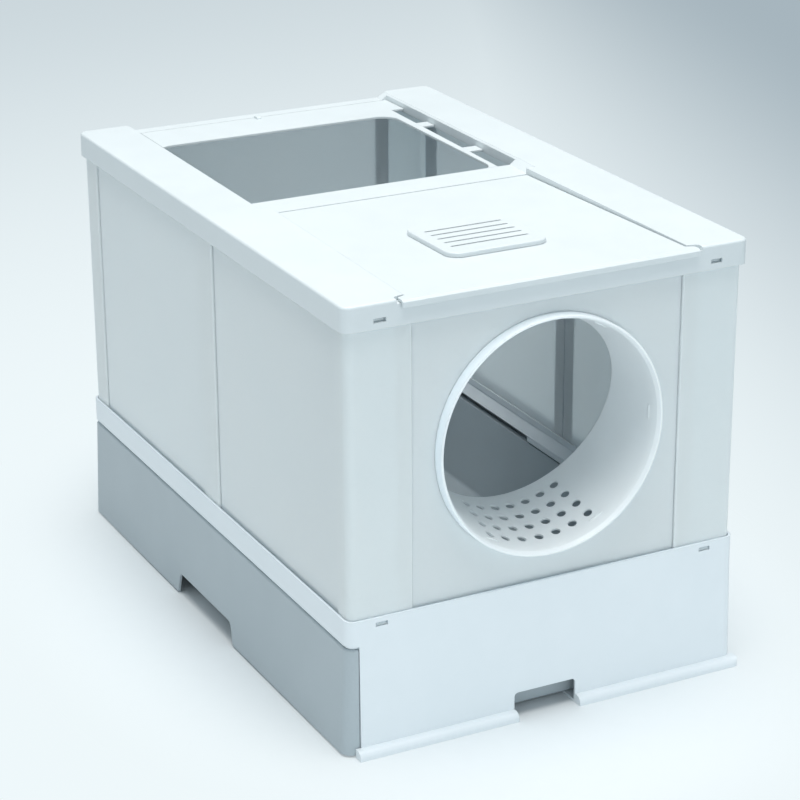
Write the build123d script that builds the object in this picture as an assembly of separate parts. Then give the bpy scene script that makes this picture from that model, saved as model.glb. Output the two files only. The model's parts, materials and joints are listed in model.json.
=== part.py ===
from build123d import *
import os
from math import atan2, cos, degrees, radians, sin

# Enclosed litter box with a pull-out drawer. Millimetres, +Z up, +X to the right of someone
# who faces the entry hole, +Y to the back. Origin: middle of the footprint, on the floor.

# ---------------------------------------------------------------- driving dimensions
lid_width = 410.0
lid_length = 630.0
lid_skirt_height = 24.0
lid_corner_radius = 9.0
lid_edge_radius = 2.5
skin = 2.5

lid_overhang = 1.0
base_top = 134.0
rim_height = 24.5
base_corner_radius = 10.0
skirt_draft_side = 2.0
skirt_draft_front = 1.5

foot_reach = 9.5
foot_height = 8.8
foot_top_radius = 6.0
foot_end_radius = 5.0
foot_left_inset = 6.0
foot_end_reach = 2.0
runner_width = 30.0
runner_thickness = 2.0

hand_notch_width = 65.0
hand_notch_offset = -2.0
hand_notch_height = 25.0
hand_notch_radius = 4.0

groove_drop = 13.0
groove_clearance = 0.5
apron_reach = 13.0
apron_drop = 14.0
apron_skin = 2.4
curb_height = 3.5
curb_thickness = 1.6
lip_end = 50.5
lip_drop = 5.5
lip_thickness = 2.0

drawer_face_reach = 11.5
drawer_face_top_gap = 3.0
drawer_face_bottom = 1.8
drawer_face_radius = 11.0
drawer_face_bevel = 1.6
drawer_face_draft = 4.0
drawer_end_gap = 0.8
drawer_rib_count = 4
tray_lip_gap = 2.5
tray_floor_gap = 0.4
tray_floor = 3.0
tray_wall = 2.5
tray_side_gap = 8.5
tray_far_gap = 11.5
tray_draft_side = 5.0
tray_draft_far = 12.0
tray_corner_radius = 26.0
tray_bottom_radius = 4.0
tray_rim_reach = 2.5
tray_rim_thickness = 2.0
grip_width = 127.0
grip_flare = 7.0
grip_height = 22.5
grip_radius = 8.0
grip_offset = 7.2

wall_thickness = 2.0
wall_corner_radius = 8.0
post_gap = 22.7
front_return = 22.5
rear_return = 34.5
post_overlap = 16.0
fold_strip_width = 36.6
fold_crease_width = 1.2
fold_crease_depth = 0.8
edge_bevel = 1.4
stand_gap = 0.3

snap_inset = 35.0
snap_width = 12.0
snap_window_height = 4.0
snap_tab_height = 2.8
lid_tab_reach = 0.8
base_tab_reach = 2.0
lid_snap_rise = 6.0
base_snap_drop = 6.5

entry_radius = 108.8
entry_taper = 0.18
entry_lip_reach = 12.0
entry_lip_width = 5.5
entry_lip_flare = 0.9
entry_lip_edge = 1.2
entry_sill = 27.0
entry_head = 15.4
entry_depth = 58.0
entry_slant = 0.305
tunnel_wall = 2.2
tunnel_hole_gap = 0.8
drip_hole_diameter = 8.6
drip_rows = 4
drip_columns = 7
drip_row_pitch = 18.0
drip_first_row = 13.0
drip_column_angle = 9.63
hook_count = 6
hook_width = 14.0
hook_height = 3.2
hook_length = 5.0

deck_drop = 6.5
flank_run = 9.0
steep_flank_run = 2.5
side_band_width = 54.5
band_end_radius = 8.0
crossbar_rear = 15.0
crossbar_front = -22.5
rear_rail = 14.0
band_wall = 2.5
bay_wall_drop = 4.5
inside_gap = 0.8

flap_gap = 1.2
flap_rear_inset = 3.5
flap_front_reach = 0.5
flap_skin = 2.5
flap_rise = 5.2
flap_lip_reach = 3.5
flap_lip_height = 7.0
flap_lip_thickness = 2.3
flap_ear_reach = 8.5
flap_ear_radius = 3.0
flap_ear_depth = 10.0
ear_notch_gap = 4.0
flap_rim_depth = 4.4
flap_rim_thickness = 2.0
hinge_bead_radius = 3.0
hinge_pin_radius = 2.0
hinge_pin_length = 8.0
hinge_clearance = 0.06
flap_ledge = 11.0
ledge_thickness = 2.5

vent_x = -8.0
vent_setback = 126.5
vent_width = 103.0
vent_length = 95.5
vent_height = 4.6
vent_radius = 14.0
vent_skin = 1.8
vent_slots = 5
vent_slot_length = 80.0
vent_slot_width = 2.7
vent_slot_pitch = 12.8
vent_leg_width = 9.0
vent_leg_length = 6.5
vent_leg_thickness = 1.6
filter_width = 80.0
filter_length = 70.0
filter_thickness = 8.0
filter_gap = 0.6
tray_shell = 1.6
tray_flange = 5.0

plate_thickness = 2.5
plate_joggle = 4.6
plate_gap = 0.6
exit_left_reach = 7.5
exit_right_margin = 18.5
exit_front_reach = 4.8
exit_rear_margin = 59.0
exit_radius = 20.0
plate_strip = 7.5
plate_slot_margin = 42.0
plate_slot_skew = 5.0
plate_tab_width = 16.0
plate_tab_insets = (46.0, 153.0)
latch_width = 5.0
latch_height = 2.2
latch_x = -8.5

# ---------------------------------------------------------------- worked-out places
lid_x, lid_y = lid_width / 2, lid_length / 2
entry_lip_radius = entry_radius + entry_lip_width
entry_height = base_top + entry_sill + entry_lip_radius
lid_bottom = entry_height + entry_lip_radius + entry_head
box_height = lid_bottom + lid_skirt_height
base_x, base_y = lid_x - lid_overhang, lid_y - lid_overhang
rim_bottom = base_top - rim_height
groove_floor = base_top - groove_drop
wall_x = base_x - skin - groove_clearance
wall_y = base_y - skin - groove_clearance
wall_bottom = groove_floor + stand_gap
panel_x = wall_x - wall_thickness
panel_y = wall_y - wall_thickness
inside_x = panel_x - wall_thickness - inside_gap
inside_y = panel_y - wall_thickness - inside_gap
deck_top = box_height - deck_drop
deck_bottom = deck_top - skin
seat_z = deck_bottom - stand_gap
wall_top = seat_z - stand_gap
skirt_left = drawer_face_reach - base_x
tray_bottom = runner_thickness + tray_floor_gap
apron_low = groove_floor - apron_drop
tray_top = apron_low - lip_drop - tray_lip_gap
entry_face = -panel_y
post_inner_x = entry_lip_radius + post_gap
snap_x = lid_x - snap_inset
deck_half_width = lid_x - side_band_width - flank_run
flap_half_rear = deck_half_width - flap_rear_inset
flap_half_front = deck_half_width + flap_front_reach
flap_ear_half = deck_half_width + flap_ear_reach
bay_rear = lid_y - rear_rail
bay_right = deck_half_width + flank_run - steep_flank_run
exit_left = -deck_half_width - exit_left_reach
exit_right = deck_half_width - exit_right_margin
exit_front = crossbar_rear - exit_front_reach
exit_rear = bay_rear - exit_rear_margin
plate_slot_rear = bay_rear - plate_slot_margin
vent_y = vent_setback - lid_y


# ---------------------------------------------------------------- helpers
def block(x0, x1, y0, y1, z0, z1, radius=0.0):
    """Upright prism between two corners, with its four standing edges rounded."""
    middle = Pos((x0 + x1) / 2, (y0 + y1) / 2, z0)
    if radius:
        plan = RectangleRounded(x1 - x0, y1 - y0, radius)
    else:
        plan = Rectangle(x1 - x0, y1 - y0)
    return middle * extrude(plan, z1 - z0)


def frustum(low, high, z0, z1):
    """Straight-sided body between two rounded rectangles (x0, x1, y0, y1, radius)."""
    sections = []
    for (x0, x1, y0, y1, radius), z in ((low, z0), (high, z1)):
        place = Pos((x0 + x1) / 2, (y0 + y1) / 2, z)
        sections.append(place * RectangleRounded(x1 - x0, y1 - y0, radius))
    return loft(sections, ruled=True)


def tub(low, high, z0, z1, radius):
    """Frustum whose bottom edge is rounded in three narrow bands."""
    sections = []
    for angle in (0, 30, 60, 90):
        rise = radius * (1 - cos(radians(angle)))
        inset = radius * (1 - sin(radians(angle)))
        part = rise / (z1 - z0)
        x0, x1, y0, y1, corner = [a + (b - a) * part for a, b in zip(low, high)]
        plan = RectangleRounded(x1 - x0 - 2 * inset, y1 - y0 - 2 * inset, corner - inset)
        sections.append(Pos((x0 + x1) / 2, (y0 + y1) / 2, z0 + rise) * plan)
    x0, x1, y0, y1, corner = high
    sections.append(Pos((x0 + x1) / 2, (y0 + y1) / 2, z1) * RectangleRounded(x1 - x0, y1 - y0, corner))
    return loft(sections, ruled=True)


def prism(outline, plane, length):
    """Straight body from a flat outline lying in the plane, along the plane's normal."""
    if isinstance(outline, list):
        outline = Polygon(*outline, align=None)
    return extrude(plane * outline, length, dir=plane.z_dir)


def both_ends(shape):
    """The shape and its mirror image at the other end of the box."""
    return shape + mirror(shape, about=Plane.XZ)


def both_sides(shape):
    """The shape and its mirror image on the other side of the box."""
    return shape + mirror(shape, about=Plane.YZ)


def snap_windows(face_y, z_middle):
    """Cutters for the pair of snap windows through one end face."""
    windows = Part()
    for side in (-1, 1):
        x = side * snap_x
        windows += block(
            x - snap_width / 2, x + snap_width / 2, face_y - 3 * skin, face_y + 3 * skin,
            z_middle - snap_window_height / 2, z_middle + snap_window_height / 2,
        )
    return windows


def write(shape, name):
    shape.label = name
    export_step(shape, "parts/" + name + ".step")


# ---------------------------------------------------------------- base frame
def apron_ring(drop):
    """Solid ring under the sloped ledge, lowered by drop; its hole widens upwards."""
    top_z, low_z = groove_floor - drop, groove_floor - apron_drop - drop
    outer_x, outer_y = base_x - skin, base_y - skin
    high = (-outer_x + 1.6, outer_x - 1.6, -outer_y + 1.6, outer_y - 1.6, 11.0)
    low = (high[0] + apron_reach, high[1] - apron_reach, high[2] + apron_reach,
           high[3] - apron_reach, 4.0)
    body = block(-outer_x, outer_x, -outer_y, outer_y, low_z, top_z, base_corner_radius - skin)
    return body - frustum(low, high, low_z, top_z)


def build_base_frame():
    band = block(-base_x, base_x, -base_y, base_y, rim_bottom, base_top, base_corner_radius)
    band -= block(-base_x + skin, base_x - skin, -base_y + skin, base_y - skin,
                  rim_bottom - 1, base_top + 1, base_corner_radius - skin)
    inner_x, inner_y = base_x - skin - 1.6, base_y - skin - 1.6
    under = block(-inner_x, inner_x, -inner_y, inner_y, rim_bottom - 20,
                  groove_floor, base_corner_radius - skin)
    apron = apron_ring(0.0) - (apron_ring(apron_skin * 1.4) & under)

    # Curb that holds the walls against the rim
    curb_x = panel_x - wall_thickness - groove_clearance
    curb_y = panel_y - wall_thickness - groove_clearance
    curb = block(-curb_x, curb_x, -curb_y, curb_y, groove_floor - 3.4,
                 groove_floor + curb_height, 8.0)
    curb -= block(-curb_x + curb_thickness, curb_x - curb_thickness, -curb_y + curb_thickness,
                  curb_y - curb_thickness, groove_floor - 5, groove_floor + curb_height + 1, 6.5)

    # Splash lip along the front part of both long ledges
    edge_x = base_x - skin - 1.6 - apron_reach
    edge_y = base_y - skin - 1.6 - apron_reach
    low_z = apron_low
    lip = block(edge_x - 0.2, edge_x - 0.2 + lip_thickness, -edge_y, lip_end,
                low_z - lip_drop, low_z + 1.0)
    lips = both_sides(lip)

    # Skirts: front, back and right side, open on the left for the drawer
    low = (-base_x - skirt_draft_side, base_x + skirt_draft_side,
           -base_y - skirt_draft_front, base_y + skirt_draft_front, base_corner_radius)
    high = (-base_x, base_x, -base_y, base_y, base_corner_radius)
    low_in = (low[0] + skin, low[1] - skin, low[2] + skin, low[3] - skin, base_corner_radius - skin)
    high_in = (high[0] + skin, high[1] - skin, high[2] + skin, high[3] - skin,
               base_corner_radius - skin)
    skirt = frustum(low, high, 0, rim_bottom) - frustum(low_in, high_in, 0, rim_bottom)
    skirt -= block(-base_x - 9, skirt_left, -base_y - 9, base_y + 9, -1, rim_bottom)

    # Stiffening return on the skirt's free edges beside the drawer
    free_edge = block(skirt_left, skirt_left + skin, -base_y + 1, -base_y + skin + 3.2, 0, rim_bottom)
    runner = block(skirt_left, base_x - 1, -base_y + 1, -base_y + skin + runner_width, 0,
                   runner_thickness)
    foot_left = foot_left_inset - base_x
    foot_right = base_x + skirt_draft_side + foot_end_reach
    skirt_y = -base_y - skirt_draft_front
    toe = skirt_y - foot_reach
    with BuildSketch(Plane.YZ) as profile:
        with BuildLine():
            Polyline((toe + foot_top_radius, foot_height), (-base_y + skin / 2, foot_height),
                     (-base_y + skin / 2, 0), (toe, 0), (toe, foot_height - foot_top_radius))
            RadiusArc((toe, foot_height - foot_top_radius),
                      (toe + foot_top_radius, foot_height), foot_top_radius)
        make_face()
    foot = Pos(foot_left, 0, 0) * extrude(profile.sketch, foot_right - foot_left, dir=Plane.YZ.z_dir)
    foot &= block(foot_left - 20, foot_right, toe, 0, 0, foot_height, foot_end_radius)
    foot -= block(-base_x - 9, skirt_left, -base_y - drawer_end_gap, 0, -1, rim_bottom)
    ends = both_ends(free_edge + runner + foot)

    frame = band + apron + curb + lips + skirt + ends

    # Hand notches, snap windows and the small corner slits
    notch_x = hand_notch_width / 2
    notch = block(hand_notch_offset - notch_x, hand_notch_offset + notch_x, -base_y - 30,
                  -base_y + 40, -30, hand_notch_height)
    notch = fillet(notch.edges().filter_by(Axis.Y).sort_by(Axis.Z)[-2:], hand_notch_radius)
    frame -= both_ends(notch)
    frame -= both_ends(snap_windows(-base_y, base_top - base_snap_drop))
    return frame


# ---------------------------------------------------------------- litter drawer
def build_litter_drawer():
    left_in = skirt_left + 0.8
    far_top = base_x - skin - tray_far_gap
    side_top = base_y - skin - tray_side_gap
    top = (left_in, far_top, -side_top, side_top, tray_corner_radius)
    low = (left_in + 1.0, far_top - tray_draft_far, -side_top + tray_draft_side,
           side_top - tray_draft_side, tray_corner_radius - 2)
    outer = tub(low, top, tray_bottom, tray_top, tray_bottom_radius)
    inner_low = (low[0] + tray_wall, low[1] - tray_wall, low[2] + tray_wall, low[3] - tray_wall,
                 tray_corner_radius - 2 - tray_wall)
    inner_top = (top[0] + tray_wall, top[1] - tray_wall, top[2] + tray_wall, top[3] - tray_wall,
                 tray_corner_radius - tray_wall)
    inner = tub(inner_low, inner_top, tray_bottom + tray_floor, tray_top, tray_bottom_radius)
    rim_z = tray_top - tray_rim_thickness
    rim = block(top[0] - tray_rim_reach, top[1] + tray_rim_reach, top[2] - tray_rim_reach,
                top[3] + tray_rim_reach, rim_z, tray_top, tray_corner_radius + tray_rim_reach)
    rim -= block(-base_x, top[0] + tray_wall / 2, -base_y, base_y, rim_z - 1, tray_top + 1)
    tray = outer + rim - inner

    # Hollow face: outer skin, closed top and end returns, open underneath
    face_top = rim_bottom - drawer_face_top_gap
    face_right = skirt_left - drawer_end_gap
    face_y = base_y
    deep = 60.0
    low_f = (-base_x - drawer_face_draft, -base_x + deep, -face_y, face_y, drawer_face_radius)
    high_f = (-base_x, -base_x + deep, -face_y, face_y, drawer_face_radius)
    shell = frustum(low_f, high_f, drawer_face_bottom, face_top)
    shell = chamfer(shell.edges().group_by(Axis.Z)[-1], drawer_face_bevel)
    low_h = (low_f[0] + skin, -base_x + deep, -face_y + skin, face_y - skin,
             drawer_face_radius - skin)
    high_h = (high_f[0] + skin, -base_x + deep, -face_y + skin, face_y - skin,
              drawer_face_radius - skin)
    hollow = frustum(low_h, high_h, drawer_face_bottom, face_top - skin)
    shell -= hollow
    shell -= block(face_right, 0, -face_y - 1, face_y + 1, -1, box_height)

    # Web between the face's top and the tray wall, and standing ribs inside the hollow
    web = block(left_in - 0.8, left_in + tray_wall, -side_top + tray_corner_radius,
                side_top - tray_corner_radius, tray_top - 6, face_top)
    ribs = Part()
    pitch = 2 * (side_top - tray_corner_radius) / (drawer_rib_count + 1)
    for i in range(drawer_rib_count):
        y = -side_top + tray_corner_radius + pitch * (i + 1)
        if abs(y - grip_offset) < grip_width / 2 + grip_flare:
            y += pitch / 2 if y > grip_offset else -pitch / 2
        ribs += block(-base_x + 1.0, left_in + 1.5, y - 1, y + 1, 12, face_top - 1)
    drawer = tray + shell + web + ribs

    half, low_half = grip_width / 2, grip_width / 2 + grip_flare
    z1 = drawer_face_bottom + grip_height
    grip = Polygon(
        (grip_offset - low_half, -5), (grip_offset + low_half, -5),
        (grip_offset + half, z1), (grip_offset - half, z1), align=None,
    )
    grip = fillet(grip.vertices().sort_by(Axis.Y)[-2:], grip_radius)
    grip_cut = prism(grip, Plane.YZ.offset(-base_x - 12), 12 + skin + 3)
    return drawer - grip_cut


# ---------------------------------------------------------------- folding wall sleeve
strip_front = (front_return - rear_return - fold_strip_width) / 2
strip_rear = strip_front + fold_strip_width


def snap_wedge(side, z_middle, reach):
    """Low wedge on a corner post, sloped on top, that points at a snap window."""
    low, high = z_middle - snap_tab_height / 2, z_middle + snap_tab_height / 2
    ramp = [(-wall_y + 0.5, low), (-wall_y - reach, low), (-wall_y - reach, low + 1.0),
            (-wall_y + 0.5, high)]
    x = side * snap_x - snap_width / 2 + 0.8
    return prism(ramp, Plane.YZ.offset(x), snap_width - 1.6)


def build_corner_post(side, side_return):
    """Rounded corner strip of the sleeve, at the front, with its two snap wedges."""
    outer = RectangleRounded(2 * wall_x, 2 * wall_y, wall_corner_radius)
    inner = RectangleRounded(2 * panel_x, 2 * panel_y, wall_corner_radius - wall_thickness)
    corner = Pos(side * wall_x, -wall_y) * Rectangle(2 * (wall_x - post_inner_x), 2 * side_return)
    post = Pos(0, 0, wall_bottom) * extrude((outer - inner) & corner, wall_top - wall_bottom)
    standing = post.edges().filter_by(Axis.Z)
    free = standing.sort_by(lambda e: abs(e.center().X) + 0.01 * e.center().Y)[:1]
    free += standing.sort_by(lambda e: e.center().Y + 0.01 * abs(e.center().X))[-1:]
    post = chamfer(free, edge_bevel)
    post += snap_wedge(side, base_top - base_snap_drop, base_tab_reach)
    window_z = lid_bottom + lid_snap_rise + snap_window_height / 2
    return post + snap_wedge(side, window_z, lid_tab_reach)


def build_end_panel():
    """Flat end wall, standing behind the flanges of the two corner posts."""
    half = post_inner_x + post_overlap
    return block(-half, half, -panel_y, -panel_y + wall_thickness, wall_bottom, wall_top)


def build_front_wall():
    hole = Circle(entry_radius + tunnel_wall + tunnel_hole_gap)
    opening = prism(Pos(0, entry_height) * hole, Plane.XZ.offset(panel_y - 20), 40)
    return build_end_panel() - opening


def build_side_panel(y0, y1):
    """Half of a side wall, standing behind the corner post and the fold strip."""
    return block(-panel_x, -panel_x + wall_thickness, y0, y1, wall_bottom, wall_top)


def build_fold_strip():
    """Strip over the gap between both halves of a side wall, creased down its middle."""
    strip = block(-wall_x, -panel_x, strip_front, strip_rear, wall_bottom, wall_top)
    edges = strip.edges().filter_by(Axis.Z).sort_by(Axis.X)[:2]
    strip = chamfer(edges, edge_bevel)
    middle = (strip_front + strip_rear) / 2
    crease = [
        (-panel_x - fold_crease_depth, middle), (-panel_x + 1, middle - fold_crease_width),
        (-panel_x + 1, middle + fold_crease_width),
    ]
    return strip - prism(crease, Plane.XY, box_height)


# ---------------------------------------------------------------- entry tunnel
def build_entry_tunnel():
    """Tapered drip tunnel: rolled outer lip, slanted inner end, drip holes below."""
    def cone(depth):
        return entry_radius - entry_taper * depth

    long_end = entry_depth + entry_slant * entry_radius + 20
    lip_y = -entry_lip_reach
    edge = cone(lip_y) + entry_lip_flare
    with BuildSketch(Plane.YZ) as profile:
        with BuildLine():
            Polyline(
                (long_end, cone(long_end)), (long_end, cone(long_end) + tunnel_wall),
                (0.0, cone(0.0) + tunnel_wall), (0.0, entry_lip_radius),
                (lip_y + entry_lip_edge, entry_lip_radius),
            )
            RadiusArc((lip_y + entry_lip_edge, entry_lip_radius),
                      (lip_y, entry_lip_radius - entry_lip_edge), -entry_lip_edge)
            Line((lip_y, entry_lip_radius - entry_lip_edge), (lip_y, edge + 0.3))
            Line((lip_y, edge + 0.3), (lip_y + 4.0, cone(lip_y + 4.0)))
            Line((lip_y + 4.0, cone(lip_y + 4.0)), (long_end, cone(long_end)))
        make_face()
    tunnel = revolve(profile.sketch, Axis.Y)

    # Slanted inner end: deeper at the bottom, so litter drips back inside
    slant = degrees(atan2(entry_slant, 1.0))
    cutter = Box(400, 200, 400, align=(Align.CENTER, Align.MIN, Align.CENTER))
    tunnel -= Pos(0, entry_depth, 0) * Rot(X=slant) * cutter

    # Hooks that hold the wall between themselves and the lip
    hook_y = wall_thickness + 0.3
    for i in range(hook_count):
        angle = 360 / hook_count * (i + 0.5)
        hook = block(-hook_width / 2, hook_width / 2, 0, hook_length, 0, hook_height + 3)
        hook = Pos(0, hook_y, cone(hook_y) + tunnel_wall - 3) * hook
        slope = hook.edges().filter_by(Axis.X).sort_by(Axis.Z)[-2:].sort_by(Axis.Y)[-1]
        tunnel += Rot(Y=angle) * chamfer(slope, hook_height * 0.8)

    # Drip holes, square to the tunnel's lower wall
    tilt = degrees(atan2(entry_taper, 1.0))
    drill = extrude(Circle(drip_hole_diameter / 2), 3 * tunnel_wall, both=True)
    for row in range(drip_rows):
        depth = drip_first_row + row * drip_row_pitch
        for column in range(drip_columns):
            angle = (column - (drip_columns - 1) / 2) * drip_column_angle
            place = Rot(Y=-angle) * Pos(0, depth, -cone(depth)) * Rot(X=tilt)
            tunnel -= place * drill
    return Pos(0, entry_face, entry_height) * tunnel


# ---------------------------------------------------------------- lid frame
def flap_plan(front, grow=0.0, ears=0.0, inset=0.0):
    """Plan of the flap or of its bay: narrower at the hinge, with rounded ears at the front."""
    rear = crossbar_front - flap_gap + grow
    ear_y = -lid_y + flap_ear_depth
    outline = [
        (-flap_half_rear - grow + inset, rear), (flap_half_rear + grow - inset, rear),
        (flap_half_front + grow - inset, ear_y), (flap_ear_half + ears - inset, ear_y - 3.0),
        (flap_ear_half + ears - inset, front), (-flap_ear_half - ears + inset, front),
        (-flap_ear_half - ears + inset, ear_y - 3.0), (-flap_half_front - grow + inset, ear_y),
    ]
    plan = Polygon(*outline, align=None)
    corners = plan.vertices().filter_by(lambda v: abs(v.X) > flap_half_front + grow + 1)
    return fillet(corners.sort_by(Axis.Y)[-2:], flap_ear_radius + min(ears, 1.0))


hinge_y = crossbar_front - flap_gap - hinge_bead_radius
hinge_z = deck_top + 0.5 - hinge_bead_radius
ledge_z = hinge_z - flap_rim_depth + flap_skin - 0.5


def build_lid_frame():
    lid = block(-lid_x, lid_x, -lid_y, lid_y, lid_bottom, box_height, lid_corner_radius)
    lid = fillet(lid.edges().group_by(Axis.Z)[-1], lid_edge_radius)
    lid -= block(-lid_x + skin + 0.3, lid_x - skin - 0.3, -lid_y + skin + 0.3, lid_y - skin - 0.3,
                 lid_bottom - 1, seat_z, lid_corner_radius - skin)
    band_in = deck_half_width + flank_run + band_wall
    hollow = block(band_in, inside_x, -inside_y, inside_y, seat_z - 1, box_height - skin, 6.0)
    lid -= both_sides(hollow)

    # Channel with sloped flanks, from the flap to the rear edge
    channel = Polygon(
        (-deck_half_width, deck_top), (deck_half_width, deck_top),
        (deck_half_width + flank_run, box_height), (deck_half_width + flank_run, box_height + 5),
        (-deck_half_width - flank_run, box_height + 5), (-deck_half_width - flank_run, box_height),
        align=None,
    )
    channel = fillet(channel.vertices().sort_by(Axis.Y)[2:4], 3.0)
    cutter = prism(channel, Plane.XZ.offset(-lid_y - 1), lid_y + 1 - crossbar_front)

    # Flanks turn round the inner rear corner of each side band
    turn_x = deck_half_width + flank_run + band_end_radius
    turn_y = lid_y - band_end_radius
    turn = block(deck_half_width - 1, turn_x, turn_y, lid_y + 1, deck_top, box_height + 1)
    cone = Cone(flank_run + band_end_radius, band_end_radius, deck_drop)
    cutter += both_sides(turn - Pos(turn_x, turn_y, deck_top + deck_drop / 2) * cone)
    lid -= cutter

    # Rear bay for the exit plate, with a short standing wall round it
    bay_wall = block(-deck_half_width - band_wall, bay_right + band_wall, crossbar_rear - 2,
                     bay_rear + band_wall, deck_top - bay_wall_drop, deck_bottom)
    lid += bay_wall
    lid -= block(-deck_half_width, bay_right, crossbar_rear, bay_rear,
                 lid_bottom, box_height + 1)
    lid -= block(-deck_half_width + 1, deck_half_width - 1, crossbar_rear - 3, crossbar_rear + 1,
                 lid_bottom, deck_bottom - 0.2)

    # Flap bay: ledges at the sides, lowered front edge, notches for the flap's ears
    ledge_y0, ledge_y1 = -inside_y, hinge_y - hinge_bead_radius - 1.5
    ledge = block(flap_half_rear - flap_ledge, deck_half_width + flank_run, ledge_y0, ledge_y1,
                  ledge_z - ledge_thickness, seat_z + 0.5)
    lid += both_sides(ledge)
    lug = block(flap_half_rear + flap_gap, deck_half_width + flank_run + band_wall,
                hinge_y - 7, crossbar_front, hinge_z - 6, seat_z + 0.5)
    lid += both_sides(lug)
    bay = flap_plan(-lid_y - 5, grow=flap_gap, ears=ear_notch_gap)
    keep_front = block(-lid_x, lid_x, -lid_y - 9, -inside_y, 0, box_height - 4.0)
    lid -= prism(bay, Plane.XY.offset(ledge_z), 30) - keep_front
    socket = Plane.YZ.offset(flap_half_rear - 2) * Pos(hinge_y, hinge_z) * Circle(
        hinge_pin_radius + hinge_clearance)
    lid -= both_sides(extrude(socket, hinge_pin_length + 3.5))

    # Stiffening rib under the crossbar
    lid += block(-deck_half_width - 2, deck_half_width + 2, crossbar_front + 1,
                 crossbar_front + 3.2, deck_bottom - 6, deck_bottom + 1)
    lid -= both_ends(snap_windows(-lid_y, lid_bottom + lid_snap_rise + snap_window_height / 2))
    return lid


# ---------------------------------------------------------------- exit plate
def build_exit_plate():
    """Drop-in plate round the roof exit, joggled down under the lid's left and front edges."""
    left, right = -deck_half_width + plate_gap, bay_right - plate_gap
    front, rear = crossbar_rear + plate_gap, bay_rear - plate_gap
    top_z = deck_top - 0.1
    high_z, low_z = top_z - plate_thickness, top_z - plate_thickness - plate_joggle
    low_rear = plate_slot_rear
    step = plate_thickness * 0.9

    sheet = block(left, right, front, rear, high_z, top_z)
    skirt = block(left, right, front, low_rear, low_z, top_z)
    skirt -= block(left + step, right + 1, front + step, low_rear + 1, low_z - 1, high_z)
    tuck = block(exit_left - plate_strip, right, exit_front - plate_strip, low_rear,
                 low_z, low_z + plate_thickness)
    tuck -= block(left, right + 1, front, low_rear + 1, low_z - 1, top_z)
    plate = sheet + skirt + tuck

    # Long slot along the right edge, bridged by two low tabs
    strip_right = exit_right + plate_strip
    slot = [
        (strip_right + plate_slot_skew / 2, plate_slot_rear),
        (strip_right - plate_slot_skew / 2, exit_front - 2 * plate_strip),
        (bay_right + 9, exit_front - 2 * plate_strip),
        (bay_right + 9, plate_slot_rear),
    ]
    plate -= prism(slot, Plane.XY.offset(low_z - 1), 20)
    for inset in plate_tab_insets:
        y = exit_rear - inset
        tab = block(strip_right - 3, right, y - plate_tab_width / 2,
                    y + plate_tab_width / 2, high_z - 0.8, high_z + 1.2)
        plate += tab

    plate -= block(exit_left, exit_right, exit_front, exit_rear, low_z - 5, box_height,
                   exit_radius)
    latch = block(latch_x - latch_width / 2, latch_x + latch_width / 2, rear - 8, rear,
                  top_z - 0.1, top_z + latch_height)
    return plate + chamfer(latch.edges().filter_by(Axis.X).sort_by(Axis.Z)[-2:], 1.0)


# ---------------------------------------------------------------- front flap
def build_front_flap():
    front = -lid_y - flap_lip_reach
    z0 = hinge_z + hinge_bead_radius
    z1 = z0 + flap_rise
    lip_in = front + flap_lip_thickness
    across = Plane.YZ.offset(-lid_x)
    side = [
        (hinge_y, z0), (front + 2.5, z1), (front, z1 - 2.0), (front, z1 - flap_lip_height),
        (lip_in, z1 - flap_lip_height), (lip_in, z1 - flap_skin), (hinge_y, z0 - flap_skin),
    ]
    plan = flap_plan(front)
    plan = fillet(plan.vertices().sort_by(Axis.Y)[:2], flap_ear_radius / 2)
    body = prism(plan, Plane.XY.offset(lid_bottom), 60)
    flap = prism(side, across, lid_width) & body

    # Stiffening rim along both sides
    rim_front = -inside_y + 3
    rim_low = hinge_z - flap_rim_depth + flap_skin
    rim_rear = hinge_y - hinge_bead_radius - 2.5
    top_rise = flap_rise / (hinge_y - front)
    rim = [
        (rim_rear, rim_low), (rim_front, rim_low),
        (rim_front, z0 + (hinge_y - rim_front) * top_rise - 1),
        (rim_rear, z0 + (hinge_y - rim_rear) * top_rise - 1),
    ]
    inner = prism(flap_plan(front, inset=flap_rim_thickness), Plane.XY.offset(lid_bottom), 60)
    flap += (prism(rim, across, lid_width) & body) - inner

    bead = Plane.YZ.offset(-flap_half_rear) * Pos(hinge_y, hinge_z) * Circle(hinge_bead_radius)
    flap += extrude(bead, 2 * flap_half_rear)
    pin = Plane.YZ.offset(-flap_half_rear - hinge_pin_length) * Pos(hinge_y, hinge_z) * Circle(
        hinge_pin_radius)
    flap += extrude(pin, 2 * (flap_half_rear + hinge_pin_length))

    window = block(-filter_width / 2, filter_width / 2, -filter_length / 2, filter_length / 2,
                   -20, 20, 5.0)
    return flap - vent_place() * window


flap_slope = degrees(atan2(flap_rise, lid_y + flap_lip_reach - 2.5 + hinge_y))


def vent_place():
    """Frame on the flap's sloping top, under the middle of the vent."""
    z0 = hinge_z + hinge_bead_radius
    run = hinge_y - vent_y
    return Pos(vent_x, vent_y, z0 + run * sin(radians(flap_slope)) / cos(radians(flap_slope))) \
        * Rot(X=-flap_slope)


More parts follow.
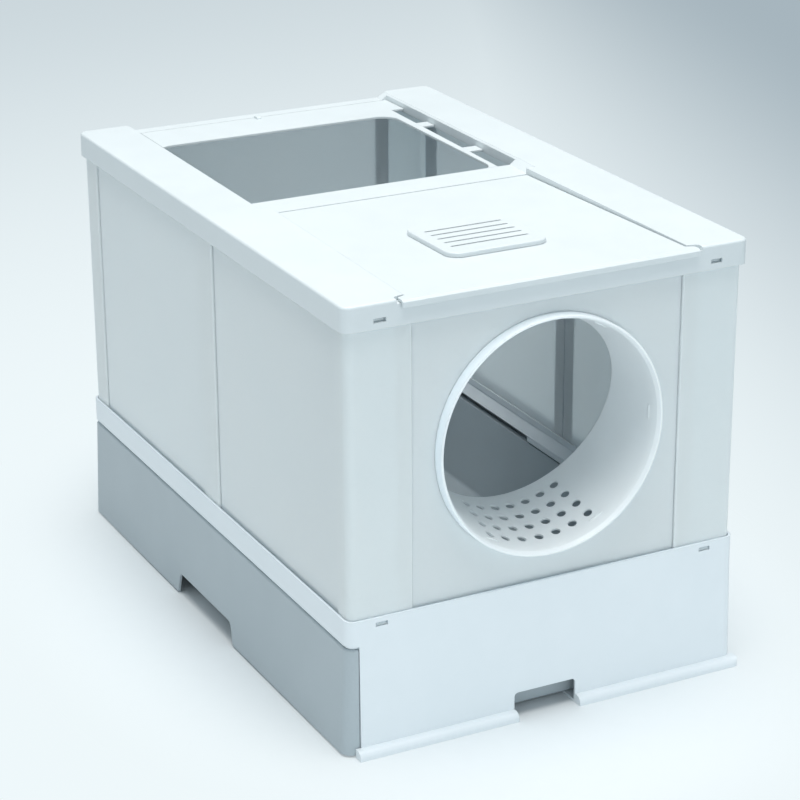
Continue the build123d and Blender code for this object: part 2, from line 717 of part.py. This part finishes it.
# ---------------------------------------------------------------- vent
def build_vent_cover():
    """Raised louvred cover: hollow, with five slots and four spring legs."""
    cover = block(-vent_width / 2, vent_width / 2, -vent_length / 2, vent_length / 2,
                  stand_gap, vent_height, vent_radius)
    cover = fillet(cover.edges().group_by(Axis.Z)[-1], 1.2)
    cover -= block(-vent_width / 2 + vent_skin, vent_width / 2 - vent_skin,
                   -vent_length / 2 + vent_skin, vent_length / 2 - vent_skin,
                   -1, vent_height - vent_skin, vent_radius - vent_skin)
    for i in range(vent_slots):
        y = (i - (vent_slots - 1) / 2) * vent_slot_pitch
        cover -= Pos(0, y, 0) * extrude(
            SlotOverall(vent_slot_length, vent_slot_width), vent_height + 5)
    x = filter_width / 2 - 0.5
    for side in (-1, 1):
        for end in (-1, 1):
            y = end * filter_length / 4
            leg = block(x - vent_leg_thickness, x, y - vent_leg_width / 2, y + vent_leg_width / 2,
                        -vent_leg_length + 2, vent_height - vent_skin + 0.2)
            cover += leg if side > 0 else mirror(leg, about=Plane.YZ)
    return vent_place() * cover


def build_filter_tray():
    """Slatted holder under the flap that carries the filter pad."""
    top = -flap_skin - 0.1
    half_x = filter_width / 2 + filter_gap
    half_y = filter_length / 2 + filter_gap
    bottom = top - vent_leg_length + 2 - filter_thickness - tray_shell
    tray = block(-half_x - tray_shell, half_x + tray_shell, -half_y - tray_shell,
                 half_y + tray_shell, bottom, top, 6.0)
    tray += block(-half_x - tray_flange, half_x + tray_flange, -half_y - tray_flange,
                  half_y + tray_flange, top - tray_shell, top, 8.0)
    tray -= block(-half_x, half_x, -half_y, half_y, bottom + tray_shell, top + 1, 4.5)
    for i in range(vent_slots):
        y = (i - (vent_slots - 1) / 2) * vent_slot_pitch
        tray -= Pos(0, y, bottom - 1) * extrude(SlotOverall(filter_width - 10, 6.0), 5)
    return vent_place() * tray


def build_charcoal_filter():
    """Pad of granular carbon in a soft cover."""
    top = -flap_skin - 0.1
    bottom = top - vent_leg_length + 2 - filter_thickness
    pad = block(-filter_width / 2, filter_width / 2, -filter_length / 2, filter_length / 2,
                bottom + 0.05, bottom + filter_thickness - 0.6, 4.0)
    pad = fillet(pad.edges().group_by(Axis.Z)[-1] + pad.edges().group_by(Axis.Z)[0], 1.5)
    return vent_place() * pad


# ---------------------------------------------------------------- write the parts
if __name__ == "__main__":
    os.makedirs("parts", exist_ok=True)
    middle = (strip_front + strip_rear) / 2
    panel_end = wall_y - wall_corner_radius - groove_clearance
    left_front = build_side_panel(-panel_end, middle - fold_crease_width)
    left_rear = build_side_panel(middle + fold_crease_width, panel_end)
    left_strip = build_fold_strip()
    parts = {
        "base_frame": build_base_frame(),
        "litter_drawer": build_litter_drawer(),
        "front_wall": build_front_wall(),
        "rear_wall": mirror(build_end_panel(), about=Plane.XZ),
        "post_front_left": build_corner_post(-1, front_return),
        "post_front_right": build_corner_post(1, front_return),
        "post_rear_left": mirror(build_corner_post(-1, rear_return), about=Plane.XZ),
        "post_rear_right": mirror(build_corner_post(1, rear_return), about=Plane.XZ),
        "left_panel_front": left_front,
        "left_panel_rear": left_rear,
        "left_fold_strip": left_strip,
        "right_panel_front": mirror(left_front, about=Plane.YZ),
        "right_panel_rear": mirror(left_rear, about=Plane.YZ),
        "right_fold_strip": mirror(left_strip, about=Plane.YZ),
        "entry_tunnel": build_entry_tunnel(),
        "lid_frame": build_lid_frame(),
        "exit_plate": build_exit_plate(),
        "front_flap": build_front_flap(),
        "filter_tray": build_filter_tray(),
        "charcoal_filter": build_charcoal_filter(),
        "vent_cover": build_vent_cover(),
    }
    for name, shape in parts.items():
        write(shape, name)
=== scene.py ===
# %% [markdown]
# A drawer litter box, in moulded plastic
#
# The box is a white folding cabin on a white base, with a grey drawer of litter under it. Its
# shapes come from the packed CAD frame, so this lesson is mostly about finish: how thin white
# sheet, glossy moulded lids and grained grey plastic differ, and how a pale object is lit so that
# every edge still reads on a pale floor.

# %% Load the packed frame
import json
import math

import bmesh
import bpy
from mathutils import Matrix, Vector


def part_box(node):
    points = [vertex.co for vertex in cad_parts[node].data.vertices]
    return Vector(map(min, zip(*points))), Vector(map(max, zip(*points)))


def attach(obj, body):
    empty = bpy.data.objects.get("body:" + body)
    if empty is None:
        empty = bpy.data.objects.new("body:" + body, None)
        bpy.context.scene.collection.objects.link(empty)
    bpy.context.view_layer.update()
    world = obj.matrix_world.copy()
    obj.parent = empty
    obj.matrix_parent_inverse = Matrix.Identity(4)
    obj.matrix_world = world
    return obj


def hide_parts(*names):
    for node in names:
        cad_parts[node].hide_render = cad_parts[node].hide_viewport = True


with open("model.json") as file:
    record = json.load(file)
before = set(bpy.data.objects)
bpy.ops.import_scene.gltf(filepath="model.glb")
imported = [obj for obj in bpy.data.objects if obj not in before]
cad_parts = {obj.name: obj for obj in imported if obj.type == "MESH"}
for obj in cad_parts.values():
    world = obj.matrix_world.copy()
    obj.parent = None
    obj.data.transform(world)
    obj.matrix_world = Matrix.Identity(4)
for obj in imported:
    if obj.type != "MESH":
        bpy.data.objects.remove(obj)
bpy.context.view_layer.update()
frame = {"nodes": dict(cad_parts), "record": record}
MM = 0.001

# %% [markdown]
# The camera
#
# A product photographer stands well back with a long lens, which keeps the sides of a box nearly
# parallel. The place, the turn and the focal length were fitted to measured edges of the box,
# so they are plain numbers here. The axis that points back at the camera comes from the azimuth
# and elevation, the other two follow from it, and a small roll finishes the frame.

# %% Camera
CAMERA_PLACE = Vector((-1.0817, -2.1404, 1.14025))
CAMERA_AZIMUTH = math.radians(-27.006)
CAMERA_ELEVATION = math.radians(21.403)
CAMERA_ROLL = math.radians(-0.320)
SENSOR = 36.0
FOCAL_PIXELS = 2561.4
PICTURE_WIDTH = 800
SEEN_TO = 60.0

back = Vector((
    math.sin(CAMERA_AZIMUTH) * math.cos(CAMERA_ELEVATION),
    -math.cos(CAMERA_AZIMUTH) * math.cos(CAMERA_ELEVATION),
    math.sin(CAMERA_ELEVATION),
))
right = Vector((math.cos(CAMERA_AZIMUTH), math.sin(CAMERA_AZIMUTH), 0.0))
up = back.cross(right)
turn = Matrix((right, up, back)).transposed() @ Matrix.Rotation(CAMERA_ROLL, 3, "Z")
camera_data = bpy.data.cameras.new("camera")
camera_data.sensor_width = SENSOR
camera_data.lens = FOCAL_PIXELS / PICTURE_WIDTH * SENSOR
camera_data.clip_end = SEEN_TO
camera = bpy.data.objects.new("camera", camera_data)
camera.matrix_world = Matrix.Translation(CAMERA_PLACE) @ turn.to_4x4()
bpy.context.scene.collection.objects.link(camera)
bpy.context.scene.camera = camera
print("lens", round(camera_data.lens, 1), "mm")

# %% [markdown]
# Shader maths as plain Python
#
# A node graph is easier to read as arithmetic. A Wire wraps one output socket, and +, - and * on
# it add the Math nodes, with the reflected forms so that 1 - mask works too. A Finish owns one
# material: its node method takes a node's type, its settings and the values or links of its
# sockets, so each surface below is a few lines that can be read aloud.

# %% Wire and Finish
class Wire:
    """One output socket, with arithmetic that adds Math nodes."""

    def __init__(self, finish, socket):
        self.finish, self.socket = finish, socket

    def _math(self, operation, first, second):
        return self.finish.node("ShaderNodeMath", {"operation": operation}, {0: first, 1: second})

    def __add__(self, other):
        return self._math("ADD", self, other)

    def __radd__(self, other):
        return self._math("ADD", other, self)

    def __sub__(self, other):
        return self._math("SUBTRACT", self, other)

    def __rsub__(self, other):
        return self._math("SUBTRACT", other, self)

    def __mul__(self, other):
        return self._math("MULTIPLY", self, other)

    def __rmul__(self, other):
        return self._math("MULTIPLY", other, self)

    def clamped(self, low, high):
        """0 below low, 1 above high and smooth between them."""
        return self.finish.node(
            "ShaderNodeMapRange", {"interpolation_type": "SMOOTHSTEP", "clamp": True},
            {"Value": self, "From Min": low, "From Max": high})


class Finish:
    """A procedural material and the nodes in it."""

    def __init__(self, name):
        self.material = bpy.data.materials.new(name)
        self.material.use_nodes = True
        self.tree = self.material.node_tree
        self.tree.nodes.clear()
        self.sheet = self.tree.nodes.new("ShaderNodeOutputMaterial")

    def node(self, kind, settings=None, sockets=None, out=0):
        made = self.tree.nodes.new(kind)
        for key, value in (settings or {}).items():
            setattr(made, key, value)
        for key, value in (sockets or {}).items():
            if isinstance(value, Wire):
                self.tree.links.new(value.socket, made.inputs[key])
            else:
                made.inputs[key].default_value = value
        return Wire(self, made.outputs[out])

    def place(self):
        """Where a point of the surface is on the object, in metres."""
        return self.node("ShaderNodeTexCoord", out="Object")

    def stretched(self, x=1.0, y=1.0, z=1.0):
        """The place with some axes scaled down, so that a texture runs long on them."""
        return self.node("ShaderNodeMapping", {}, {"Vector": self.place(), "Scale": (x, y, z)})

    def noise(self, scale, detail=2.0, rough=0.5, vector=None):
        """Soft noise around 0.5, with so many lumps in a metre."""
        return self.node(
            "ShaderNodeTexNoise", {},
            {"Vector": vector or self.place(), "Scale": scale, "Detail": detail, "Roughness": rough})

    def tint(self, mask, low, high):
        """One colour where the mask is 0 and the other where it is 1."""
        return self.node(
            "ShaderNodeMix", {"data_type": "RGBA"},
            {0: mask, 6: (*low, 1.0), 7: (*high, 1.0)}, out=2)

    def end(self, shader):
        """The finished material, with this shader as its surface."""
        self.tree.links.new(shader.socket, self.sheet.inputs["Surface"])
        return self.material


print("nodes join with", [name for name in vars(Wire) if name.startswith("__r")])

# %% [markdown]
# Edges that catch the light
#
# Every moulded edge has a small radius, and that is where a white object shows its form. The CAD
# edges are partly sharp, as sheet is when it leaves the cutter. Chamfering the meshes would
# change them, so the Bevel node rounds only the shading normal. The angle between that rounded
# normal and the true one is also a mask of the edges, where hands and the mould's parting line
# polish plastic a little. On the drawer the same mask also lightens the grey, which is a painted
# highlight along the edges.

# %% Soft edges
MOULDED_EDGE = 0.8 * MM
SHEET_EDGE = 0.6 * MM
TRAY_EDGE = 0.9 * MM


def soft_normal(finish, radius):
    return finish.node("ShaderNodeBevel", {"samples": 6}, {"Radius": radius}, out="Normal")


def edge_mask(finish, soft):
    """0 on a flat face, towards 1 where the shading normal leans off the true one."""
    true = finish.node("ShaderNodeNewGeometry", out="Normal")
    along = finish.node(
        "ShaderNodeVectorMath", {"operation": "DOT_PRODUCT"}, {0: soft, 1: true}, out="Value")
    return (1.0 - along).clamped(0.01, 0.25)


def bumped(finish, height, normal):
    """The normal of a surface that is raised by a height in metres."""
    return finish.node(
        "ShaderNodeBump", {},
        {"Height": height, "Distance": 1.0, "Strength": 1.0, "Normal": normal})


edges = [round(edge / MM, 1) for edge in (MOULDED_EDGE, SHEET_EDGE, TRAY_EDGE)]
print("edges round over", edges, "mm in the shading")

# %% [markdown]
# White injection moulding: lid, flap, vent, base, tunnel
#
# These pieces are polypropylene from a polished mould. The plastic is close to white with a cool
# cast, its gloss breaks up over a few centimetres where the melt cooled unevenly, and a very
# fine orange peel blurs reflections. A flat white would look like paper, so the colour drifts
# by one or two percent, the roughness drifts more, and two heights of noise feed one bump.
#
# The base is the most opaque grade. The lid lets a little light in, and the tunnel is a clearer
# copy of it whose white is painted far paler, as painted light that keeps its inside bright
# although it faces into the box. Clear says how much of the light goes under the surface, where
# it spreads over a few millimetres.

# %% Moulded white
PLASTIC_IOR = 1.49
EVEN_SPREAD = (1.0, 1.0, 1.0)
MOULDING_REACH = 5.0 * MM
SINK_DEPTH = 0.5 * MM


def moulded_white(name, low, high, smooth, rough, peel_depth, clear):
    """Glossy white from two colours, two roughnesses, the orange peel and the clearness."""
    finish = Finish(name)
    soft = soft_normal(finish, MOULDED_EDGE)
    edge = edge_mask(finish, soft)
    drift = finish.noise(7.0, detail=3.0)
    cloud = finish.noise(38.0, detail=4.0, rough=0.6)
    peel = finish.noise(900.0, detail=2.0)
    sink = finish.noise(11.0, detail=1.0)
    colour = finish.tint((drift * 0.7 + cloud * 0.3).clamped(0.3, 0.7), low, high)
    roughness = smooth + cloud * (rough - smooth) - edge * 0.08
    normal = bumped(finish, peel * peel_depth + sink * SINK_DEPTH, soft)
    shader = finish.node(
        "ShaderNodeBsdfPrincipled", {},
        {"Base Color": colour, "Roughness": roughness, "Normal": normal, "IOR": PLASTIC_IOR,
         "Subsurface Weight": clear, "Subsurface Radius": EVEN_SPREAD,
         "Subsurface Scale": MOULDING_REACH})
    return finish.end(shader)


print("light reaches", round(MOULDING_REACH / MM, 1), "mm into a moulding")

# %% The three moulded grades
lid_white = moulded_white(
    "lid_white", (0.68, 0.73, 0.745), (0.71, 0.76, 0.775),
    smooth=0.26, rough=0.44, peel_depth=0.012 * MM, clear=0.1)
# The tunnel's much paler white is painted light that brightens its inside.
tunnel_painted_bright = moulded_white(
    "tunnel_painted_bright", (0.92, 0.98, 0.998), (0.94, 0.988, 0.999),
    smooth=0.26, rough=0.44, peel_depth=0.012 * MM, clear=0.3)
base_white = moulded_white(
    "base_white", (0.78, 0.835, 0.865), (0.81, 0.86, 0.89),
    smooth=0.30, rough=0.48, peel_depth=0.016 * MM, clear=0.0)
print("moulded whites", lid_white.name, tunnel_painted_bright.name, base_white.name)

# %% [markdown]
# White sheet: the folding walls
#
# The walls are thin sheet held in corner strips. Extruded sheet is duller than a moulding, and
# it is never quite flat: long shallow waves run up it from the rollers. The waves come from
# noise that is stretched along Z, at the same scale on every panel.
#
# Two millimetres of unfilled sheet is translucent. Light that enters the outside leaves it on the
# inside, so the cabin is lit softly through its own walls. Scattering under the surface with a
# reach of a few sheet thicknesses does this without thinning the sheet or adding a lamp inside.
# The strips at the corners and folds are a denser grade with a shorter reach. Without it a strip
# and the sheet beside it would part in tone, and outside they should look like one wall.

# %% Wall sheet
WAVE_DEPTH = 1.2 * MM
SHEET_GRAIN = 0.02 * MM


def wall_sheet(name, reach):
    """Dull translucent sheet that spreads light as far as the reach."""
    finish = Finish(name)
    soft = soft_normal(finish, SHEET_EDGE)
    drift = finish.noise(5.0, detail=2.0)
    waves = finish.noise(9.0, detail=1.0, vector=finish.stretched(z=0.35))
    grain = finish.noise(1300.0, detail=2.0)
    speck = finish.noise(160.0, detail=3.0, rough=0.7)
    colour = finish.tint((drift * 0.8 + speck * 0.2).clamped(0.3, 0.7),
                         (0.80, 0.905, 0.975), (0.82, 0.92, 0.985))
    normal = bumped(finish, waves * WAVE_DEPTH + grain * SHEET_GRAIN, soft)
    shader = finish.node(
        "ShaderNodeBsdfPrincipled", {},
        {"Base Color": colour, "Roughness": 0.42 + speck * 0.16, "Normal": normal,
         "IOR": PLASTIC_IOR, "Subsurface Weight": 1.0, "Subsurface Radius": EVEN_SPREAD,
         "Subsurface Scale": reach})
    return finish.end(shader)


wall_white = wall_sheet("wall_white", 6.5 * MM)
strip_white = wall_sheet("strip_white", 5.0 * MM)
print("wall sheets", wall_white.name, strip_white.name)

# %% [markdown]
# Grey drawer
#
# The drawer is the piece that gets scratched, so it is moulded in grey from a spark-eroded
# mould. That leaves a fine pebbled skin with a satin sheen. Pebbles are rounder than noise, so
# their height is the distance in a Voronoi texture. The grey is lightened a little on edges,
# which is a painted highlight where the rounded edges would catch the light.

# %% Drawer plastic
PEBBLE_DEPTH = 0.03 * MM


def drawer_plastic():
    """Satin grey with a pebbled skin."""
    finish = Finish("drawer_grey")
    soft = soft_normal(finish, TRAY_EDGE)
    edge = edge_mask(finish, soft)
    pebble = finish.node(
        "ShaderNodeTexVoronoi", {}, {"Vector": finish.place(), "Scale": 950.0, "Randomness": 1.0},
        out="Distance")
    drift = finish.noise(12.0, detail=3.0)
    fleck = finish.noise(420.0, detail=2.0, rough=0.6)
    # The edge term in this mask lightens the grey on edges: a painted highlight.
    mask = (drift * 0.6 + fleck * 0.4 + edge * 0.4).clamped(0.3, 0.9)
    colour = finish.tint(mask, (0.42, 0.48, 0.51), (0.46, 0.52, 0.55))
    normal = bumped(finish, pebble * PEBBLE_DEPTH + drift * SINK_DEPTH, soft)
    shader = finish.node(
        "ShaderNodeBsdfPrincipled", {},
        {"Base Color": colour, "Roughness": 0.40 + fleck * 0.14 - edge * 0.06,
         "Normal": normal, "IOR": PLASTIC_IOR})
    return finish.end(shader)


drawer_grey = drawer_plastic()
print("drawer plastic", drawer_grey.name)

# %% [markdown]
# Carbon felt
#
# Under the vent lies a filter pad: a fibre felt filled with carbon. Felt has no weave, only
# fibres that lie every way, and grains of carbon that glint. Noise on a strongly stretched space
# gives streaks, two crossed sets of them read as fibres, and a sheen lightens it at a flat angle.

# %% Felt
FIBRE_DEPTH = 0.35 * MM
GRAIN_DEPTH = 0.12 * MM


def carbon_felt():
    """Near-black felt with fibres both ways and grains between them."""
    finish = Finish("carbon_pad")
    across = finish.noise(900.0, detail=3.0, rough=0.7, vector=finish.stretched(x=0.15))
    along = finish.noise(900.0, detail=3.0, rough=0.7, vector=finish.stretched(y=0.15))
    grains = finish.node(
        "ShaderNodeTexVoronoi", {}, {"Vector": finish.place(), "Scale": 1500.0}, out="Distance")
    fibre = (across + along) * 0.5
    colour = finish.tint(fibre.clamped(0.4, 0.62), (0.012, 0.012, 0.013), (0.075, 0.075, 0.078))
    height = fibre * FIBRE_DEPTH + grains * GRAIN_DEPTH
    normal = finish.node("ShaderNodeBump", {}, {"Height": height, "Distance": 1.0})
    shader = finish.node(
        "ShaderNodeBsdfPrincipled", {},
        {"Base Color": colour, "Roughness": 0.8 + grains * 0.15, "Normal": normal,
         "Sheen Weight": 0.35, "Sheen Roughness": 0.5})
    return finish.end(shader)


carbon_pad = carbon_felt()
print("felt", carbon_pad.name)

# %% [markdown]
# Each CAD node takes the finish of its slot
#
# The packed record says which slot every node belongs to, so one loop dresses the whole box and
# no list of pieces has to be kept in step with the CAD. Two grades are finer than the slots: the
# tunnel's clear white, painted paler than the lid's as painted light, and the strips' dense white,
# and the name of the node tells those apart.

# %% Dress the nodes
FINISHES = {
    "lid_white": lid_white, "base_white": base_white, "wall_white": wall_white,
    "drawer_grey": drawer_grey, "carbon_pad": carbon_pad,
}
for part in frame["record"]["subparts"]:
    worn = frame["nodes"][part["node"]].data.materials
    worn.clear()
    kind = part["node"].split("_")
    # The tunnel gets the paler white, painted light for its inside.
    if "tunnel" in kind:
        worn.append(tunnel_painted_bright)
    elif "post" in kind or "strip" in kind:
        worn.append(strip_white)
    else:
        worn.append(FINISHES[part["material_slot"]])

# %% [markdown]
# The filter pad
#
# A felt pad is cut from a roll, and its edge is pressed flat by a hot knife, which draws the
# sides in a little between the corners. Two crossed sets of stitched channels keep the carbon
# from sliding down. A cloth simulation would need a voxel finer than those channels, so the
# height of a fine grid is worked out directly: full in the middle, thin at the pressed edge,
# and lower along each channel. The underside stays flat, because it lies on the holder's grid.

# %% Filter pad mesh
PAD_CELLS = 56
PRESSED_EDGE = 5.0 * MM
PULLED_IN = 1.2 * MM
CHANNEL_PITCH = 16.0 * MM
CHANNEL_WIDTH = 2.2 * MM
CHANNEL_DEPTH = 0.35
EDGE_SHARE = 0.22
CORNER_SHARE = 0.88


def ease(value):
    """From 0 to 1 with a level start and end."""
    value = min(max(value, 0.0), 1.0)
    return value * value * (3.0 - 2.0 * value)


def channel(along):
    """1 in the middle of a sewn channel and 0 away from it."""
    off = abs((along / CHANNEL_PITCH + 0.5) % 1.0 - 0.5) * CHANNEL_PITCH
    return 1.0 - ease(off / CHANNEL_WIDTH)


def filter_pad(low, high):
    """A stitched pad that fills the box between two corners."""
    middle, half = (low + high) / 2.0, (high - low) / 2.0
    mesh = bmesh.new()
    top, under = {}, {}
    for i in range(PAD_CELLS + 1):
        for j in range(PAD_CELLS + 1):
            u, v = 2.0 * i / PAD_CELLS - 1.0, 2.0 * j / PAD_CELLS - 1.0
            x = (half.x - PULLED_IN * (1.0 - v * v)) * u
            y = (half.y - PULLED_IN * (1.0 - u * u)) * v
            inside = min((1.0 - abs(u)) * half.x, (1.0 - abs(v)) * half.y)
            free = ease(inside / PRESSED_EDGE)
            full = EDGE_SHARE + (1.0 - EDGE_SHARE) * free
            crown = CORNER_SHARE + (1.0 - CORNER_SHARE) * (1.0 - u * u) * (1.0 - v * v)
            sewn = max(channel(x + y), channel(x - y)) * free
            rise = 2.0 * half.z * full * crown * (1.0 - CHANNEL_DEPTH * sewn)
            top[i, j] = mesh.verts.new((middle.x + x, middle.y + y, low.z + rise))
            under[i, j] = mesh.verts.new((middle.x + x, middle.y + y, low.z))
    for i in range(PAD_CELLS):
        for j in range(PAD_CELLS):
            corners = ((i, j), (i + 1, j), (i + 1, j + 1), (i, j + 1))
            mesh.faces.new([top[c] for c in corners])
            mesh.faces.new([under[c] for c in reversed(corners)])
    last = PAD_CELLS
    rim = [(i, 0) for i in range(last)] + [(last, j) for j in range(last)]
    rim += [(i, last) for i in range(last, 0, -1)] + [(0, j) for j in range(last, 0, -1)]
    for a, b in zip(rim, rim[1:] + rim[:1]):
        mesh.faces.new((under[a], under[b], top[b], top[a]))
    return mesh


pad_mesh = filter_pad(*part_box("charcoal_filter"))
print("pad cells", PAD_CELLS, "by", PAD_CELLS)

# %% Filter pad object
def pad_object(mesh):
    data = bpy.data.meshes.new("felt_pad")
    mesh.to_mesh(data)
    mesh.free()
    data.polygons.foreach_set("use_smooth", [True] * len(data.polygons))
    data.materials.append(carbon_pad)
    pad = bpy.data.objects.new("felt_pad", data)
    bpy.context.scene.collection.objects.link(pad)
    return pad


felt_pad = pad_object(pad_mesh)
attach(felt_pad, "flap")
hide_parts("charcoal_filter")
print("pad faces", len(felt_pad.data.polygons))

# %% [markdown]
# The studio floor
#
# A white box on white paper is held together by the shadow under it. Close to the box the floor
# is real: a pale diffuse sheet that takes the shadow. Farther off, paper in a studio falls away
# to grey because the lamps stay on the subject, and the grey is deeper on the right. Camera and
# mirror rays see that as a glow painted by place on the floor, while the light that reaches the
# box still bounces off an even floor. The real part is an oval, longer along the box than across.

# %% Floor finish
PAPER_NEAR = (0.86, 0.94, 0.965)
PAPER_FAR = (0.385, 0.465, 0.515)
REAL_TO = 0.31
GLOW_FROM = 0.62
ACROSS_TO_ALONG = (1.5, 1.0, 0.0)


def floor_finish():
    """Real paper near the box that passes into a painted glow farther off."""
    finish = Finish("studio_floor")
    place = finish.node("ShaderNodeNewGeometry", out="Position")

    def measured(direction):
        """How far a point of the floor lies in a direction."""
        return finish.node(
            "ShaderNodeVectorMath", {"operation": "DOT_PRODUCT"}, {0: place, 1: direction},
            out="Value")

    rightward = measured((1.0, -0.25, 0.0)).clamped(0.25, 1.35)
    rearward = measured((0.0, 1.0, 0.0)).clamped(0.4, 3.0) * 0.55
    away = finish.node("ShaderNodeMath", {"operation": "MAXIMUM"}, {0: rightward, 1: rearward})
    glow = finish.node(
        "ShaderNodeEmission", {}, {"Color": finish.tint(away, PAPER_NEAR, PAPER_FAR)})
    fibre = finish.noise(60.0, detail=4.0, vector=place)
    paper = finish.node(
        "ShaderNodeBsdfDiffuse", {},
        {"Color": finish.tint(fibre, (0.78, 0.815, 0.83), (0.80, 0.835, 0.85))})
    squeezed = finish.node(
        "ShaderNodeVectorMath", {"operation": "MULTIPLY"}, {0: place, 1: ACROSS_TO_ALONG})
    reach = finish.node(
        "ShaderNodeVectorMath", {"operation": "LENGTH"}, {0: squeezed}, out="Value")
    seen = finish.node("ShaderNodeLightPath", out="Is Camera Ray")
    mirrored = finish.node("ShaderNodeLightPath", out="Is Glossy Ray")
    through = finish.node("ShaderNodeLightPath", out="Is Transmission Ray")
    far = reach.clamped(REAL_TO, GLOW_FROM) * (seen + mirrored + through)
    return finish.end(finish.node("ShaderNodeMixShader", {}, {0: far, 1: paper, 2: glow}))


print("paper is real within", REAL_TO, "m and all glow past", GLOW_FROM, "m")

# %% Floor sheet
FLOOR_RADIUS = 14.0
FLOOR_SIDES = 96


def studio_floor():
    """A round sheet that reaches past the frame of every view."""
    mesh = bmesh.new()
    bmesh.ops.create_circle(mesh, cap_ends=True, segments=FLOOR_SIDES, radius=FLOOR_RADIUS)
    data = bpy.data.meshes.new("studio_floor")
    mesh.to_mesh(data)
    mesh.free()
    data.materials.append(floor_finish())
    sheet = bpy.data.objects.new("studio_floor", data)
    bpy.context.scene.collection.objects.link(sheet)
    return sheet


print("floor", studio_floor().name, "of", FLOOR_RADIUS, "m radius")

# %% [markdown]
# Light
#
# One wide softbox hangs right overhead. It makes the lid the brightest plane and leaves the sides
# to softer light, which is what lets three white planes part. A weak second one stands low in
# front, as a white card on the table would, and lights the front and the inside of the tunnel.
# The rest is the even light of a pale room, so no shadow is black. Camera rays that miss the
# floor see a plain pale wall.

# %% Room
ROOM_TINT = (0.83, 0.94, 1.0, 1.0)
ROOM_LIGHT = 0.54
ROOM_WALL = (0.72, 0.80, 0.85, 1.0)


def room():
    """Even light for the box and a plain wall for the camera."""
    world = bpy.data.worlds.new("room")
    world.use_nodes = True
    tree = world.node_tree
    tree.nodes.clear()
    light = tree.nodes.new("ShaderNodeBackground")
    light.inputs["Color"].default_value = ROOM_TINT
    light.inputs["Strength"].default_value = ROOM_LIGHT
    wall = tree.nodes.new("ShaderNodeBackground")
    wall.inputs["Color"].default_value = ROOM_WALL
    rays = tree.nodes.new("ShaderNodeLightPath")
    mix = tree.nodes.new("ShaderNodeMixShader")
    sheet = tree.nodes.new("ShaderNodeOutputWorld")
    tree.links.new(rays.outputs["Is Camera Ray"], mix.inputs[0])
    tree.links.new(light.outputs[0], mix.inputs[1])
    tree.links.new(wall.outputs[0], mix.inputs[2])
    tree.links.new(mix.outputs[0], sheet.inputs["Surface"])
    bpy.context.scene.world = world


room()
print("room light", ROOM_LIGHT)

# %% Softboxes
def softbox(name, place, aim, width, power, colour):
    """A round soft lamp that points from a place at an aim."""
    data = bpy.data.lights.new(name, "AREA")
    data.shape = "DISK"
    data.size = width
    data.energy = power
    data.color = colour
    lamp = bpy.data.objects.new(name, data)
    lamp.location = place
    lamp.rotation_mode = "QUATERNION"
    lamp.rotation_quaternion = (Vector(aim) - Vector(place)).to_track_quat("-Z", "Y")
    bpy.context.scene.collection.objects.link(lamp)
    return lamp


key = softbox(
    "softbox", place=(-0.1, -0.3, 3.0), aim=(0.0, 0.0, 0.2),
    width=2.2, power=75.0, colour=(1.0, 0.99, 0.975))
fill = softbox(
    "fill", place=(-0.7, -3.3, 0.35), aim=(0.0, 0.0, 0.15),
    width=1.8, power=20.5, colour=(0.87, 0.95, 1.0))
print("softbox", key.data.energy, "W, fill", fill.data.energy, "W")

# %% Close the scene
bpy.context.scene.view_settings.view_transform = "Standard"
